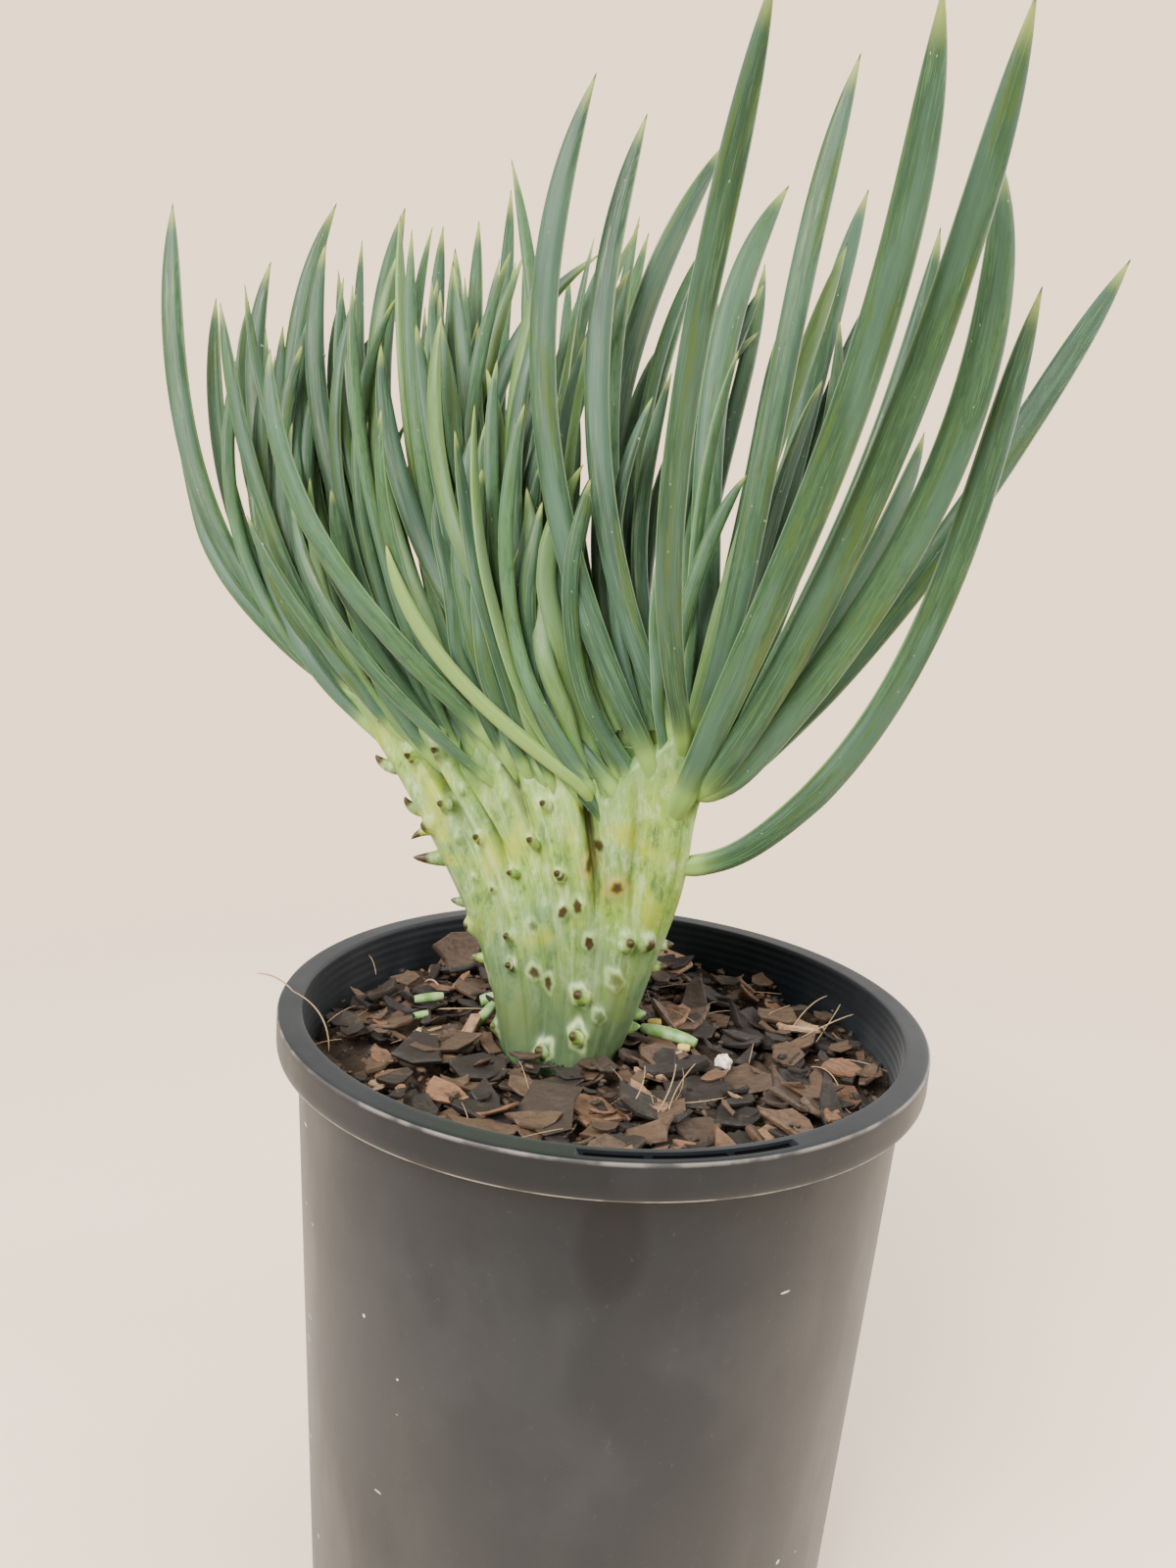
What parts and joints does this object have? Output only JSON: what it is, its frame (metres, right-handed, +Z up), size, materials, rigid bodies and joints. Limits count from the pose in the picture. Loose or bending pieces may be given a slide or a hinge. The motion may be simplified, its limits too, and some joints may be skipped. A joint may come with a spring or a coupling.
{
  "type": "potted succulent plant",
  "caption": "Crested senecio in a round black nursery pot: a pale fan-shaped stem rising from bark mix, with long upright pointed blue-green leaves along its crest.",
  "frame": {"origin": "Centre of the pot's flat base, on the surface it stands on.", "axes": "+Z up along the pot's axis; front of the plant, with the widest view of its fan, towards -Y; +X to the right seen from the front."},
  "size_m": [0.2059, 0.14, 0.3294],
  "materials": {
    "pot_plastic": "satin black moulded plastic",
    "bark_mix": "rough composted bark, dark brown",
    "stem_skin": "living stem skin, pale yellow-green, waxy matte",
    "leaf_skin": "living leaf skin, blue-green with a waxy bloom",
    "bark_chip": "dry bark flake, orange-brown, rough",
    "perlite": "white expanded mineral grain, rough",
    "fallen_leaf": "detached leaf piece, green, matte"
  },
  "bodies": {
    "root": {"pot": "pot_plastic", "potting_mix": "bark_mix", "crested_stem": "stem_skin", "leaf_01": "leaf_skin", "leaf_02": "leaf_skin", "leaf_03": "leaf_skin", "leaf_04": "leaf_skin", "leaf_05": "leaf_skin", "leaf_06": "leaf_skin", "leaf_07": "leaf_skin", "leaf_08": "leaf_skin", "leaf_09": "leaf_skin", "leaf_10": "leaf_skin", "leaf_11": "leaf_skin", "leaf_12": "leaf_skin", "leaf_13": "leaf_skin", "leaf_14": "leaf_skin", "leaf_15": "leaf_skin", "leaf_16": "leaf_skin", "leaf_17": "leaf_skin", "leaf_18": "leaf_skin", "leaf_19": "leaf_skin", "leaf_20": "leaf_skin", "leaf_21": "leaf_skin", "leaf_22": "leaf_skin", "leaf_23": "leaf_skin", "leaf_24": "leaf_skin", "leaf_25": "leaf_skin", "leaf_26": "leaf_skin", "leaf_27": "leaf_skin", "leaf_28": "leaf_skin", "leaf_29": "leaf_skin", "leaf_30": "leaf_skin", "leaf_31": "leaf_skin", "leaf_32": "leaf_skin", "leaf_33": "leaf_skin", "leaf_34": "leaf_skin", "leaf_35": "leaf_skin", "leaf_36": "leaf_skin", "leaf_37": "leaf_skin", "leaf_38": "leaf_skin", "leaf_39": "leaf_skin", "leaf_40": "leaf_skin", "leaf_41": "leaf_skin", "leaf_42": "leaf_skin", "leaf_43": "leaf_skin", "leaf_44": "leaf_skin", "leaf_45": "leaf_skin", "leaf_46": "leaf_skin", "bark_chip_1": "bark_chip", "bark_chip_2": "bark_chip", "bark_chip_3": "bark_chip", "bark_chip_4": "bark_chip", "bark_chip_5": "bark_chip", "perlite_grain": "perlite", "fallen_leaf": "fallen_leaf"}
  },
  "joints": []
}
